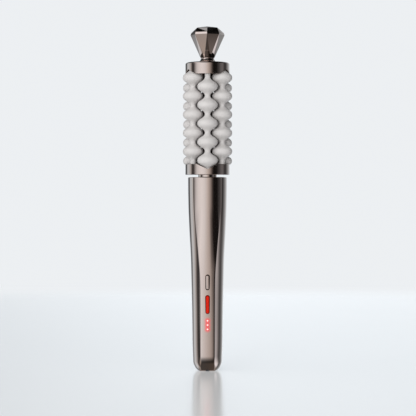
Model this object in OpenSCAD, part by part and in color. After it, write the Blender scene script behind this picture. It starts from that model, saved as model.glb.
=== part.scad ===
// Facial massager wand: a creased grip with two buttons, and a motor-driven head
// with a cage of interlocking wave rollers under a faceted knob.
// The origin is the middle of the foot's flat, +Z is up and the front faces -Y.

/* [Grip] */
// Height of the grip shell
grip_h = 123.5; // [118:0.5:150]
// Half width of the grip at its top end
grip_top_r = 12.5; // [12:0.1:15]
// Half width of the grip just above the foot
grip_foot_r = 9.2; // [9:0.1:11.2]
// Half depth of the grip just above the foot
grip_foot_d = 9.3; // [9:0.1:11]
// Wall of the grip shell
grip_wall = 1.6; // [1.3:0.1:1.7]
// Width of the front and back panels between their creases
panel_w = 8.5; // [7:0.1:9.5]
// Crown radius across the panels near the foot
panel_crown = 32; // [20:1:80]
// Height of the rounding at the foot's sides
foot_round_h = 6; // [4:0.5:7]
// Height of the rounding at the foot's front and back
foot_bend_h = 9.5; // [7:0.5:12]
// How far the rounding draws the foot in
foot_round_w = 3.5; // [2.5:0.1:3.5]
// Radius of the half-round notch in the foot's front edge
notch_r = 1.2; // [0.8:0.1:1.6]

/* [Buttons and lights] */
// Height of the mode button's middle
mode_z = 56.7; // [54:0.1:60]
// Length of the mode button
mode_len = 9.2; // [8:0.1:11]
// Width of the mode button
mode_w = 2.1; // [2:0.1:3.2]
// How far the mode button stands out of the panel
mode_proud = 0.2; // [0.1:0.05:0.5]
// Height of the power button's middle
power_z = 42.6; // [40:0.1:43]
// Length of the power button
power_len = 11.2; // [9:0.1:13]
// Width of the power button
power_w = 2.1; // [2:0.1:3.2]
// How far the power button stands out of the panel
power_proud = 0.55; // [0.3:0.05:0.8]
// Gap between a button and its slot, all round
button_gap = 0.3; // [0.1:0.05:0.3]
// Travel of both buttons
button_travel = 0.5; // [0.3:0.05:0.6]
// Height of the lowest indicator light
light_z = 27; // [24:0.2:28]
// Spacing of the indicator lights
light_pitch = 2.7; // [2.4:0.05:3]
// Diameter of a light pipe
light_d = 1.0; // [0.8:0.1:1.6]

/* [Head] */
// Gap between the grip and the turning head
head_gap = 1.4; // [1:0.1:3]
// Radius of the neck seen in that gap
neck_r = 5.95; // [5.9:0.05:6.2]
// Outer radius of the bottom ring and the top cap
rim_r = 14.2; // [13.9:0.1:15]
// Wall of their rims
rim_wall = 0.9; // [0.7:0.1:0.9]
// Height of the bottom ring
ring_h = 6.9; // [6:0.1:8]
// Height of the top cap
cap_h = 7.8; // [7:0.1:10]
// Open height between the ring and the cap
cage_h = 57.1; // [50:0.1:75]
// Thickness of the ring's floor
ring_floor = 1.8; // [1.5:0.1:2.5]
// Thickness of the cap's plate
cap_plate = 2.6; // [2.2:0.1:3.5]
// Rounding of the cap's top edge
cap_round = 1.1; // [0.5:0.1:1.5]
// Width of a roller notch at the rim's edge
vee_w = 13.8; // [12:0.1:14]
// Depth of a roller notch
vee_h = 3.3; // [3.1:0.1:3.8]
// Radius at the point of a roller notch
vee_tip_r = 0.8; // [0.3:0.1:1.2]

/* [Rollers] */
// Radius of the circle that the roller axes stand on
roller_ring_r = 10.7; // [10.6:0.05:10.8]
// Number of bulges on a roller
bulges = 5; // [3:1:6]
// Radius of a bulge
bulge_r = 6.45; // [5.3:0.05:6.7]
// Radius of the necks between the bulges
roller_neck_r = 1.75; // [1.6:0.05:1.9]
// Diameter of an axle pin
axle_d = 1.5; // [1.2:0.1:1.5]
// Outer diameter of the liner tube inside a roller
liner_d = 2.5; // [2.3:0.1:2.6]
// Running clearance of liners, journals and shafts on the radius
run_gap = 0.05; // [0.03:0.01:0.08]

/* [Knob] */
// Height of the flared collar under the knob
collar_h = 3.0; // [2.6:0.1:6]
// Radius of the collar where it meets the cap
collar_r = 8.0; // [6:0.1:9]
// Radius of the knob's lower end across its corners
knob_foot_r = 4.75; // [4.4:0.05:6]
// Radius of the knob's girdle across its corners
girdle_r = 10.95; // [9:0.05:13]
// Height of the knob from its foot to the girdle
pavilion_h = 14.7; // [10:0.1:18]
// How far the knob's front corner is turned to the left
knob_turn = 1.7; // [0:0.1:10]
// Height of the steep band above the girdle
band_h = 1.4; // [0.8:0.1:2]
// Height of the knob from the girdle to its top
crown_h = 5.2; // [4:0.1:8]

/* [Drive and power pack] */
// Diameter of the gearmotor's can
motor_d = 15.5; // [14:0.1:15.5]
// Length of the gearmotor's can
motor_len = 22; // [18:0.5:24]
// Diameter of the gearbox
gearbox_d = 16; // [15:0.1:16]
// Length of the gearbox
gearbox_len = 15; // [12:0.5:16]
// Diameter of the output shaft
shaft_d = 4; // [3:0.1:4]
// Diameter of the battery cell
cell_d = 10; // [9:0.1:10]
// Length of the battery cell
cell_len = 44; // [40:0.5:44]
// Width of the charging socket's mouth
socket_w = 8.94; // [7:0.02:8.94]
// Height of the charging socket's mouth
socket_h = 3.26; // [2.5:0.02:3.4]

/* [Hidden] */
$fn = 64;
eps = 0.01;

plated = "#b09f95";
silicone = "#d0cdcb";
steel = "#b9bcc0";
brass = "#c8a655";
nylon = "#3a3a3c";
board_green = "#2f6b45";
signal_red = "#e12616";

// Grip stations: height share, width share from foot to top, panel half-width share, roundness.
STATIONS = [
    [0.00, 0.000, 1.00, 0.00],
    [0.05, 0.030, 1.00, 0.00],
    [0.13, 0.130, 1.00, 0.00],
    [0.33, 0.232, 1.00, 0.04],
    [0.48, 0.350, 1.06, 0.12],
    [0.59, 0.464, 1.34, 0.26],
    [0.73, 0.745, 1.76, 0.52],
    [0.85, 0.930, 2.03, 0.69],
    [1.00, 1.000, 2.10, 0.73]
];
last_station = len(STATIONS) - 1;
rings_in_foot = 8;
rings_in_grip = 24;
panel_steps = 4;
side_steps = 9;
top_chamfer = 0.4;

floor_z = foot_round_h + 1.6;
base_hole_r = 5.2;
fit_gap = 0.05;
board_t = 1.0;
frame_r = 7.1;
frame_foot = 3.4;
frame_z = floor_z + board_t;
cell_z = frame_z + frame_foot;
cell_y = 1.6;
cell_gap = 0.1;
tab_w = 3;
tab_t = 0.2;
cell_top = cell_z + cell_len;
board_y = -3.9;
board_w = 11.2;
board_z = frame_z + 1.2;
block_h = 8;
block_top = cell_top + block_h;
lead_r = 0.4;
lead_x = 4.5;
lead_y = board_y - board_t - lead_r;
lead_down = 6;
terminal_h = 1.2;
board_h = block_top - board_z;
deck_t = 1.6;
deck_z = block_top;
deck_r = 8.5;
collar_z = grip_h - 2;
post_len = 14.5;
plate_t = 1.6;
plate_z = collar_z - post_len - plate_t;
gearbox_z = plate_z - gearbox_len;
motor_z = gearbox_z - motor_len;
rail_w = 7;
gearbox_boss_r = 3;
gearbox_screw_r = 5.6;

collar_plug_r = grip_top_r - grip_wall - fit_gap;
bush_wall = 1.15;
journal_r = neck_r - 0.55;
bush_r = journal_r + run_gap + bush_wall;
bush_len = 11.5;
bush_z = grip_h - bush_len;
bush_flange_t = 0.8;
bush_flange_r = bush_r + 0.8;
boss_r = bush_r + 1.4;
post_r = 1.5;
post_ring_r = collar_plug_r - post_r - 0.25;
post_count = 3;
screw_r = 0.9;
screw_head_r = 1.5;
clip_t = 0.8;
clip_z = bush_z - 0.15 - clip_t;
clip_depth = 0.5;
hub_z = clip_z - 1.1;
shaft_r = shaft_d / 2;
shaft_flat = 0.5;
shaft_bore_top = hub_z + 8.2;

ring_z = grip_h + head_gap;
ring_top = ring_z + ring_h;
cap_z = ring_top + cage_h;
cap_top = cap_z + cap_h;
channel_z0 = ring_z + ring_floor;
channel_z1 = cap_top - cap_plate;
mid_z = (channel_z0 + channel_z1) / 2;
channel_h = channel_z1 - channel_z0;
roller_count = 6;
bulge_pitch = channel_h / (bulges + 0.75);
washer_t = 0.3;
end_gap = 0.05;
liner_z0 = channel_z0 + washer_t + end_gap;
liner_z1 = channel_z1 - washer_t - end_gap;
sleeve_inset = 0.25;
axle_r = axle_d / 2;
axle_seat = 1.2;
wave_steps = 16;
tube_r = 3.4;
rod_r = 1.6;
rod_z = shaft_bore_top + 1;
hub_screw_ring_r = 4.55;
hub_screw_r = 0.6;

collar_top = cap_top + collar_h;
rod_grip = 7;
girdle_z = collar_top + pavilion_h;
knob_top = girdle_z + crown_h;
corner_r = 0.82 * girdle_r;
side_r = 0.585 * girdle_r;
corner_drop = 0.9;
side_drop = 0.2;
band_r = girdle_r - 0.35 * band_h;

switch_w = 3;
switch_len = 3.5;
switch_t = 1.3;
switch_base = 0.4;
plunger_r = 0.75;
flange_lip = 0.6;
flange_t = 0.8;
led_w = 1.6;
led_h = 0.8;
led_t = 0.6;

// Value of one station column at a height share, on a smooth curve through the stations.
function span_of(f, i = 0) = i >= last_station - 1 || f <= STATIONS[i + 1][0] ? i : span_of(f, i + 1);
function slope_at(i, c) =
    i == 0 || i == last_station ? 0 :
    (STATIONS[i + 1][c] - STATIONS[i - 1][c]) / (STATIONS[i + 1][0] - STATIONS[i - 1][0]);
function station(f, c) =
    let (i = span_of(f), h = STATIONS[i + 1][0] - STATIONS[i][0], t = (f - STATIONS[i][0]) / h)
    STATIONS[i][c] * (1 + 2 * t) * pow(1 - t, 2) + STATIONS[i + 1][c] * t * t * (3 - 2 * t)
    + h * slope_at(i, c) * t * pow(1 - t, 2) - h * slope_at(i + 1, c) * t * t * (1 - t);

// Drawing-in of the foot at a height, for a rounding of height h.
function foot_inset(z, h) =
    z >= h ? 0 :
    foot_round_w * (1 - pow(1 - pow((h - z) / h, 1.6), 0.625));
function half_width(z) =
    grip_foot_r + (grip_top_r - grip_foot_r) * station(z / grip_h, 1) - foot_inset(z, foot_round_h);
function half_depth(z) =
    grip_foot_d + (grip_top_r - grip_foot_d) * station(z / grip_h, 1) - foot_inset(z, foot_bend_h);
function cavity_r(z) = min(half_width(z), half_depth(z)) - grip_wall;
rail_r = cavity_r(deck_z) - 0.1;
plate_r = cavity_r(plate_z) - 0.1;

// A quarter of the grip's section, from the front's middle over the crease to the side.
function quarter(a, d, w, rc) =
    let (yc = d - rc + sqrt(rc * rc - w * w), t0 = asin(w / a), b = yc / cos(t0))
    concat(
        [for (k = [0 : panel_steps - 1])
            let (x = w * k / panel_steps) [x, -(d - rc + sqrt(rc * rc - x * x))]],
        [for (k = [0 : side_steps - 1])
            let (t = t0 + (90 - t0) * k / side_steps) [a * sin(t), -b * cos(t)]],
        [[a, 0]]
    );
function section(z, inset = 0) =
    let (
        f = z / grip_h,
        a = half_width(z) - inset,
        d = half_depth(z) - inset,
        w = min(panel_w / 2 * station(f, 2), 0.76 * a),
        rc = 1 / (station(f, 3) / d + (1 - station(f, 3)) / panel_crown),
        q = quarter(a, d, w, rc),
        m = len(q) - 1
    )
    concat(
        [for (k = [0 : m - 1]) q[k]],
        [for (k = [m : -1 : 1]) [q[k].x, -q[k].y]],
        [for (k = [0 : m - 1]) [-q[k].x, -q[k].y]],
        [for (k = [m : -1 : 1]) [-q[k].x, q[k].y]]
    );
function ring_heights() = concat(
    [for (k = [0 : rings_in_foot - 1]) foot_bend_h * (1 - cos(90 * k / rings_in_foot))],
    [for (k = [0 : rings_in_grip])
        foot_bend_h + (grip_h - top_chamfer - foot_bend_h) * k / rings_in_grip]
);

// Solid lofted through rings of equal point count, each running anticlockwise seen from above.
module loft(rings) {
    n = len(rings[0]);
    top = len(rings) - 1;
    points = [for (r = rings) each r];
    sides = [for (i = [0 : top - 1], j = [0 : n - 1])
        let (a = i * n + j, b = i * n + (j + 1) % n)
        each [[a, a + n, b + n], [a, b + n, b]]];
    base = [for (j = [0 : n - 1]) j];
    lid = [for (j = [n - 1 : -1 : 0]) top * n + j];
    polyhedron(points = points, faces = concat([base], sides, [lid]));
}

module grip_body() {
    heights = ring_heights();
    rings = concat(
        [for (z = heights) [for (p = section(z)) [p.x, p.y, z]]],
        [[for (p = section(grip_h, top_chamfer)) [p.x, p.y, grip_h]]]
    );
    loft(rings);
}

// Flat shapes.
module pill(w, len) {
    square([w, len - w], center = true);
    for (s = [-1, 1]) translate([0, s * (len - w) / 2]) circle(d = w);
}
module ring2d(r_out, r_in) {
    difference() {
        circle(r = r_out);
        circle(r = r_in);
    }
}

// A flat shape drawn in X and Z, given depth from y0 back to y1.
module face_front(y0, y1) {
    translate([0, y1, 0]) rotate([90, 0, 0]) linear_extrude(height = y1 - y0) children();
}

module tube(r_out, r_in, z0, z1) {
    translate([0, 0, z0]) linear_extrude(height = z1 - z0) ring2d(r_out, r_in);
}
module rod(r, z0, z1) {
    translate([0, 0, z0]) cylinder(r = r, h = z1 - z0);
}

// Countersunk or cap screw pointing down, its head's top at the origin.
module sunk_screw(r, head_r, len) {
    union() {
        translate([0, 0, -head_r + r]) cylinder(r1 = r, r2 = head_r, h = head_r - r);
        translate([0, 0, -len]) cylinder(r = r, h = len - head_r + r + eps);
    }
}
module cap_screw(r, head_r, head_h, len) {
    difference() {
        union() {
            cylinder(r = head_r, h = head_h);
            translate([0, 0, -len]) cylinder(r = r, h = len + eps);
        }
        translate([0, 0, head_h * 0.45]) cylinder(r = head_r * 0.5, h = head_h, $fn = 6);
    }
}

// Grip shell: outer loft, tapered round cavity, button slots, light holes and foot opening.
module cavity() {
    steps = 12;
    heights = [for (k = [0 : steps]) floor_z + (collar_z - floor_z) * k / steps];
    profile = concat(
        [[0, floor_z]],
        [for (z = heights) [cavity_r(z), z]],
        [[collar_plug_r + fit_gap, collar_z], [collar_plug_r + fit_gap, grip_h + 1], [0, grip_h + 1]]
    );
    rotate_extrude($fn = 96) polygon(profile);
}
module foot_notch() {
    translate([0, 0.7 - base_hole_r, 0]) rotate([90, 0, 0]) cylinder(r = notch_r, h = grip_foot_d);
}
module handle_shell() {
    color(plated) difference() {
        grip_body();
        cavity();
        rod(base_hole_r + fit_gap, -1, floor_z + 1);
        foot_notch();
        for (b = [[mode_z, mode_w, mode_len], [power_z, power_w, power_len]])
            translate([0, 0, b[0]]) face_front(-grip_top_r - 1, -5)
                pill(b[1] + 2 * button_gap, b[2] + 2 * button_gap);
        for (k = [0 : 2])
            translate([0, -5, light_z + k * light_pitch]) rotate([90, 0, 0])
                cylinder(d = light_d + 2 * fit_gap, h = grip_top_r);
    }
}

// Foot plug, flush with the grip's flat, holding the charging socket.
module base_cap() {
    color(plated) difference() {
        rod(base_hole_r, 0, floor_z);
        translate([0, 0, -1]) linear_extrude(height = floor_z + 2)
            rotate(90) pill(socket_h + 2 * fit_gap, socket_w + 2 * fit_gap);
        foot_notch();
    }
}

// Reversible charging receptacle: a drawn metal mouth with a contact tongue.
module charging_socket() {
    mouth_z = 0.5;
    skin = 0.3;
    color(steel) {
        difference() {
            translate([0, 0, mouth_z]) linear_extrude(height = floor_z - mouth_z)
                rotate(90) pill(socket_h, socket_w);
            translate([0, 0, mouth_z - 1]) linear_extrude(height = floor_z - mouth_z)
                rotate(90) pill(socket_h - 2 * skin, socket_w - 2 * skin);
        }
        translate([-0.375 * socket_w, -0.35, mouth_z + 0.8])
            cube([0.75 * socket_w, 0.7, floor_z - mouth_z - 1.2]);
    }
}

// Small round board that the socket is soldered to.
module charging_board() {
    color(board_green) difference() {
        rod(frame_r - 0.3, floor_z, floor_z + board_t);
        for (s = [-1, 1]) translate([s * (frame_r - 0.3), 0, floor_z + board_t / 2])
            cube([2, 3, board_t + 1], center = true);
    }
}

// Moulded carrier: battery cradle below, a deck, and rails beside the gearmotor.
module inner_frame() {
    rib = 1.2;
    color(nylon) {
        difference() {
            rod(frame_r, frame_z, deck_z);
            translate([0, cell_y, cell_z])
                cylinder(d = cell_d + 2 * cell_gap, h = cell_len + tab_t + cell_gap);
            for (z = [cell_z - tab_t, cell_top])
                translate([-tab_w / 2 - cell_gap, board_y - 1, z])
                    cube([tab_w + 2 * cell_gap, cell_y - board_y + 3, tab_t + cell_gap]);
            translate([-10, -20, frame_z - 1]) cube([20, 20 + board_y, block_top]);
            for (z = [cell_z + 5, cell_z + cell_len - 17])
                translate([-3, 3, z]) cube([6, 10, 12]);
            for (s = [-1, 1], z = [cell_z + 8, cell_z + 26])
                translate([s * 6.5 - 2, -2.2, z]) cube([4, 4, 10]);
            for (z = screw_heights())
                translate([0, board_y - 1, z]) rotate([-90, 0, 0]) cylinder(r = 0.65, h = 5);
            translate([0, 2, cell_top + block_h / 2]) rotate([-90, 0, 0]) cylinder(r = 2.4, h = 10);
        }
        difference() {
            rod(deck_r, deck_z, deck_z + deck_t);
            rod(2.8, deck_z - 1, deck_z + deck_t + 1);
            for (s = [-1, 1]) translate([s * lead_x, lead_y, deck_z - 1]) cylinder(r = 0.9, h = deck_t + 2);
        }
        for (s = [0, 180]) rotate(s) intersection() {
            tube(rail_r, gearbox_d / 2 + 0.1, deck_z + deck_t - eps, plate_z);
            translate([0, -rail_w / 2, deck_z]) cube([deck_r + 2, rail_w, plate_z - deck_z]);
        }
        for (s = [0, 180]) rotate(s) intersection() {
            tube(gearbox_d / 2 + 0.1 + eps, motor_d / 2 + 0.1, motor_z + 3, motor_z + 3 + rib);
            translate([0, -rail_w / 2, motor_z]) cube([deck_r + 2, rail_w, motor_len]);
        }
    }
}
function screw_heights() = [frame_z + frame_foot / 2 + 0.4, cell_top + block_h - 2];

// Lithium cell with its positive cap.
module battery() {
    nub_h = 0.8;
    translate([0, cell_y, cell_z]) {
        color("#2e6fb0") cylinder(d = cell_d, h = cell_len - nub_h);
        color(steel) translate([0, 0, cell_len - nub_h - eps]) cylinder(d = cell_d * 0.45, h = nub_h + eps);
    }
}

// Nickel strips from the cell's two ends forward to the board.
module cell_tabs() {
    color(steel) for (z = [cell_z - tab_t, cell_top])
        translate([-tab_w / 2, board_y, z]) cube([tab_w, cell_y - board_y + 1.5, tab_t]);
}

// Main board, standing in front of the battery.
module circuit_board() {
    chip_h = 0.9;
    color(board_green) difference() {
        translate([-board_w / 2, board_y - board_t, board_z]) cube([board_w, board_t, board_h]);
        for (z = screw_heights())
            translate([0, board_y + 1, z]) rotate([90, 0, 0]) cylinder(r = 0.8, h = board_t + 2);
    }
    color(nylon) for (c = [[-3.4, board_z + 6, 3], [2.6, board_z + 7, 4], [-3.6, block_top - 12, 3]])
        translate([c[0] - 1.5, board_y - board_t - chip_h, c[1]]) cube([3, chip_h, c[2]]);
}
module board_screws() {
    color(steel) for (z = screw_heights())
        translate([0, board_y - board_t, z]) rotate([90, 0, 0]) cap_screw(0.6, 1.2, 0.7, 4);
}

// Tact switches behind the buttons: a housing with a bore for its plunger.
module switch_housing(z) {
    translate([0, 0, z]) difference() {
        face_front(board_y - board_t - switch_t, board_y - board_t)
            square([switch_w, switch_len], center = true);
        translate([0, board_y - board_t - switch_base, 0]) rotate([90, 0, 0])
            cylinder(r = plunger_r + run_gap, h = switch_t + 1);
    }
}
module power_switch() {
    color(nylon) switch_housing(power_z);
}
module mode_switch() {
    color(nylon) switch_housing(mode_z);
}

// Where a button's flange lies behind the shell wall.
function flange_y(z, w, len) =
    -sqrt(pow(cavity_r(z - len / 2), 2) - pow(w / 2 + flange_lip, 2)) + 0.12;
plunger_front = board_y - board_t - switch_t - button_travel - 0.1;
plunger_back = board_y - board_t - switch_base - button_travel - 0.1;

module plunger(z) {
    translate([0, plunger_back, z]) rotate([90, 0, 0])
        cylinder(r = plunger_r, h = plunger_back - plunger_front);
}
module power_plunger() {
    color("#efe9df") plunger(power_z);
}
module mode_plunger() {
    color("#efe9df") plunger(mode_z);
}

// Button: a pill with a crowned face, a retaining flange and a stem down to the plunger.
module button(z, w, len, proud) {
    front = -half_depth(z) - proud;
    fy = flange_y(z, w, len);
    crown_r = (len * len / 4 + 0.25) / (2 * 0.25);
    side_r = w * 0.8;
    translate([0, 0, z]) {
        intersection() {
            face_front(front, fy + eps) pill(w, len);
            translate([-w, front + crown_r, 0]) rotate([0, 90, 0])
                cylinder(r = crown_r, h = 2 * w, $fn = 180);
            translate([0, front + side_r, -len]) cylinder(r = side_r, h = 2 * len);
        }
        face_front(fy - eps, fy + flange_t) pill(w + 2 * flange_lip, len + 2 * flange_lip);
        translate([0, plunger_front - eps, 0]) rotate([90, 0, 0])
            cylinder(r = 1.1, h = plunger_front - fy - flange_t + 2 * eps);
    }
}
module power_button() {
    color(signal_red) button(power_z, power_w, power_len, power_proud);
}
module mode_button() {
    color(plated) button(mode_z, mode_w, mode_len, mode_proud);
}

// Indicator lights on the board, and the clear comb that brings them to the panel.
function light_heights() = [for (k = [0 : 2]) light_z + k * light_pitch];
module indicator_leds() {
    color("#fff3d8") for (z = light_heights())
        translate([-led_w / 2, board_y - board_t - led_t, z - led_h / 2]) cube([led_w, led_t, led_h]);
}
module light_pipes() {
    bar_front = -sqrt(pow(cavity_r(light_z - 2), 2) - 4) + 0.1;
    pipe_back = board_y - board_t - led_t - 0.1;
    color("#ff8a7a") {
        for (z = light_heights()) translate([0, pipe_back, z]) rotate([90, 0, 0])
            cylinder(d = light_d, h = half_depth(z) + pipe_back);
        translate([-1.5, bar_front, light_z - 1.4])
            cube([3, 0.9, 2 * light_pitch + 2.8]);
    }
}

// Gearmotor: flat-sided can with an end boss, gearbox, and the plate that carries both.
module motor() {
    color(steel) {
        intersection() {
            rod(motor_d / 2, motor_z, gearbox_z);
            translate([0, 0, motor_z + motor_len / 2])
                cube([motor_d, motor_d - 2, motor_len], center = true);
        }
        rod(2.5, motor_z - 1.4, motor_z + eps);
        for (s = [-1, 1]) translate([s * lead_x, lead_y, motor_z - terminal_h / 2])
            cube([1.5, 0.3, terminal_h + 2 * eps], center = true);
    }
}
// Two leads from the motor's terminals through the deck to the board's face.
module motor_leads() {
    color(signal_red) for (s = [-1, 1]) translate([s * lead_x, lead_y, 0])
        rod(lead_r, block_top - lead_down, motor_z - terminal_h - eps);
}
module gearbox() {
    color(brass) difference() {
        union() {
            rod(gearbox_d / 2, gearbox_z, plate_z);
            rod(gearbox_boss_r, plate_z - eps, plate_z + plate_t - 0.2);
        }
        rod(shaft_r + run_gap, plate_z - 8, plate_z + plate_t + 1);
        for (s = [-1, 1]) translate([0, s * gearbox_screw_r, plate_z - 4]) cylinder(r = 0.85, h = 5);
        for (z = [gearbox_z + 2, plate_z - 3]) tube(gearbox_d / 2 + 1, gearbox_d / 2 - 0.25, z, z + 0.5);
    }
}
module motor_plate() {
    color(steel) difference() {
        rod(plate_r, plate_z, plate_z + plate_t);
        rod(gearbox_boss_r + fit_gap, plate_z - 1, plate_z + plate_t + 1);
        for (s = [-1, 1]) translate([0, s * gearbox_screw_r, plate_z - 1])
            cylinder(r = 1.05, h = plate_t + 2);
        posts() cylinder(r = screw_r + fit_gap, h = 3 * plate_t, center = true);
    }
}
module posts() {
    for (k = [0 : post_count - 1]) rotate(90 + 360 * k / post_count)
        translate([post_ring_r, 0, plate_z + plate_t]) children();
}
module gearbox_screws() {
    color(steel) for (s = [-1, 1]) translate([0, s * gearbox_screw_r, plate_z + plate_t])
        cap_screw(0.8, 1.5, 0.9, plate_t + 3);
}

// Collar that closes the grip's top, with the bush boss and the posts down to the motor plate.
module top_collar() {
    color(nylon) difference() {
        union() {
            rod(collar_plug_r, collar_z, grip_h);
            rod(boss_r, bush_z + bush_flange_t, collar_z + eps);
            posts() cylinder(r = post_r, h = post_len + eps);
        }
        rod(bush_r + fit_gap / 2, bush_z - 1, grip_h + 1);
        posts() translate([0, 0, -1]) cylinder(r = screw_r + fit_gap, h = grip_h);
        posts() translate([0, 0, grip_h - plate_z - plate_t - screw_head_r + screw_r])
            cylinder(r1 = screw_r + fit_gap, r2 = screw_head_r + fit_gap, h = screw_head_r - screw_r + eps);
    }
}
module collar_screws() {
    color(steel) posts() translate([0, 0, grip_h - plate_z - plate_t])
        sunk_screw(screw_r, screw_head_r, grip_h - plate_z - 0.1);
}
module head_bush() {
    color("#e9e4d6") difference() {
        union() {
            rod(bush_r, bush_z, grip_h);
            rod(bush_flange_r, bush_z, bush_z + bush_flange_t);
        }
        rod(journal_r + run_gap, bush_z - 1, grip_h + 1);
    }
}

// Output shaft of the gearbox, flatted where it drives the hub.
module flatted(r, z0, z1, flat) {
    difference() {
        rod(r, z0, z1);
        translate([-r - 1, r - flat, z0 - 1]) cube([2 * r + 2, r, z1 - z0 + 2]);
    }
}
module drive_shaft() {
    color(steel) {
        rod(shaft_r, plate_z - 7.5, hub_z - 0.5 + eps);
        flatted(shaft_r, hub_z - 0.5, shaft_bore_top - 0.2, shaft_flat);
    }
}

// Hub: neck seen under the head, journal in the bush, clip groove, shaft and rod bores.
module drive_hub() {
    color(plated) difference() {
        union() {
            rod(journal_r, hub_z, grip_h + end_gap + eps);
            rod(neck_r, grip_h + end_gap, ring_z);
        }
        flatted(shaft_r + run_gap, hub_z - 1, shaft_bore_top, shaft_flat);
        rod(rod_r + fit_gap, rod_z - 0.2, ring_z + 1);
        tube(journal_r + 1, journal_r - clip_depth, clip_z - 0.05, clip_z + clip_t + 0.05);
        hub_screw_places() translate([0, 0, -5]) cylinder(r = hub_screw_r + fit_gap, h = 6);
    }
}
module hub_screw_places() {
    for (k = [0 : 2]) rotate(30 + 120 * k) translate([hub_screw_ring_r, 0, ring_z]) children();
}
module hub_clip() {
    color(steel) difference() {
        tube(journal_r + 0.9, journal_r - clip_depth + run_gap, clip_z, clip_z + clip_t);
        translate([0, 3, clip_z - 1]) linear_extrude(height = 3) polygon([[0, -3], [5, 8], [-5, 8]]);
    }
}
module hub_screws() {
    color(steel) hub_screw_places() translate([0, 0, ring_floor])
        cap_screw(hub_screw_r, 1.0, 0.8, ring_floor + 4.5);
}

// Axes of the rollers: odd ones end low in the ring's notches, even ones high in the cap's.
function roller_angle(i) = -90 + 360 / roller_count * (i - 1);
module at_roller(i) {
    rotate(roller_angle(i)) translate([roller_ring_r, 0, 0]) children();
}
function ends_low(i) = i % 2 == 1;

// Outline of a roller notch, its open edge at the origin and its point upwards.
module vee() {
    flank = atan2(vee_h, vee_w / 2);
    tip_y = vee_h - vee_tip_r / cos(flank);
    steps = 6;
    polygon(concat(
        [[-vee_w / 2, -1], [-vee_w / 2, 0]],
        [for (k = [0 : steps])
            let (t = flank * (2 * k / steps - 1))
            [vee_tip_r * sin(t), tip_y + vee_tip_r * cos(t)]],
        [[vee_w / 2, 0], [vee_w / 2, -1]]
    ));
}
// A notch cut through the rim on the +X side.
module vee_cut() {
    translate([rim_r - 3, 0, 0]) rotate([90, 0, 90]) linear_extrude(height = 5) vee();
}
module bottom_ring() {
    color(plated) difference() {
        rotate_extrude($fn = 96) polygon([
            [rod_r + fit_gap, ring_z], [rim_r - 0.3, ring_z], [rim_r, ring_z + 0.3],
            [rim_r, ring_top], [rim_r - rim_wall, ring_top],
            [rim_r - rim_wall, channel_z0], [rod_r + fit_gap, channel_z0]
        ]);
        for (i = [1 : roller_count]) {
            at_roller(i) rod(axle_r + 0.02, channel_z0 - axle_seat, channel_z0 + 1);
            if (ends_low(i)) rotate(roller_angle(i)) translate([0, 0, ring_top])
                mirror([0, 0, 1]) vee_cut();
        }
        hub_screw_places() translate([0, 0, -1]) cylinder(r = hub_screw_r + 0.15, h = ring_floor + 2);
    }
}
module top_cap() {
    steps = 8;
    color(plated) difference() {
        rotate_extrude($fn = 96) polygon(concat(
            [[rod_r + fit_gap, channel_z1], [rim_r - rim_wall, channel_z1], [rim_r - rim_wall, cap_z]],
            [[rim_r, cap_z]],
            [for (k = [0 : steps])
                let (t = 90 * k / steps)
                [rim_r - cap_round * (1 - cos(t)), cap_top - cap_round * (1 - sin(t))]],
            [[rod_r + fit_gap, cap_top]]
        ));
        for (i = [1 : roller_count]) {
            at_roller(i) rod(axle_r + 0.02, channel_z1 - 1, channel_z1 + axle_seat);
            if (!ends_low(i)) rotate(roller_angle(i)) translate([0, 0, cap_z]) vee_cut();
        }
    }
}
module core_tube() {
    color("#3b2f2b") tube(tube_r, rod_r + 0.2, channel_z0, channel_z1);
}
module tie_rod() {
    color(steel) rod(rod_r, rod_z, collar_top + rod_grip - 0.2);
}

// Half-height of the wave: a cosine with two small overtones that fill out its flanks.
function wave_r(turn) =
    let (
        fill = 0.15,
        shoulder = 0.12,
        mean = (bulge_r + roller_neck_r) / 2 + fill,
        swing = (bulge_r - roller_neck_r) / 2 + shoulder
    )
    mean + swing * cos(turn) - fill * cos(2 * turn) - shoulder * cos(3 * turn);
wave_z0 = mid_z - bulge_pitch * (bulges / 2 + 0.25);
module low_roller() {
    wave = [for (k = [0 : bulges * wave_steps])
        [wave_r(360 * k / wave_steps - 180), wave_z0 + bulge_pitch * k / wave_steps]];
    bore_r = liner_d / 2 + 0.02;
    rotate_extrude($fn = 72) polygon(concat(
        [[bore_r, liner_z0 + sleeve_inset], [roller_neck_r, liner_z0 + sleeve_inset]],
        wave,
        [[roller_neck_r, liner_z1 - sleeve_inset], [bore_r, liner_z1 - sleeve_inset]]
    ));
}
module roller(i) {
    color(silicone) at_roller(i)
        if (ends_low(i)) low_roller();
        else translate([0, 0, 2 * mid_z]) rotate([180, 0, 0]) low_roller();
}
module liner(i) {
    color("#e9e4d6") at_roller(i) tube(liner_d / 2, axle_r + run_gap, liner_z0, liner_z1);
}
module roller_axles() {
    color(steel) for (i = [1 : roller_count])
        at_roller(i) rod(axle_r, channel_z0 - axle_seat + 0.1, channel_z1 + axle_seat - 0.1);
}
module roller_washers() {
    color(brass) for (i = [1 : roller_count], z = [channel_z0, channel_z1 - washer_t])
        at_roller(i) tube(roller_neck_r - 0.05, axle_r + 0.03, z, z + washer_t);
}

// Flared collar with a hollow curve, turned to a fine lip under the knob.
module knob_collar() {
    top_r = knob_foot_r - 0.5;
    flare = collar_r - top_r;
    steps = 12;
    color(plated) rotate_extrude($fn = 96) polygon(concat(
        [[rod_r + fit_gap, cap_top], [collar_r, cap_top]],
        [for (k = [0 : steps])
            let (t = 90 * k / steps)
            [collar_r - flare * sin(t), cap_top + 0.25 + (collar_h - 0.25) * (1 - cos(t))]],
        [[rod_r + fit_gap, collar_top]]
    ));
}

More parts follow.
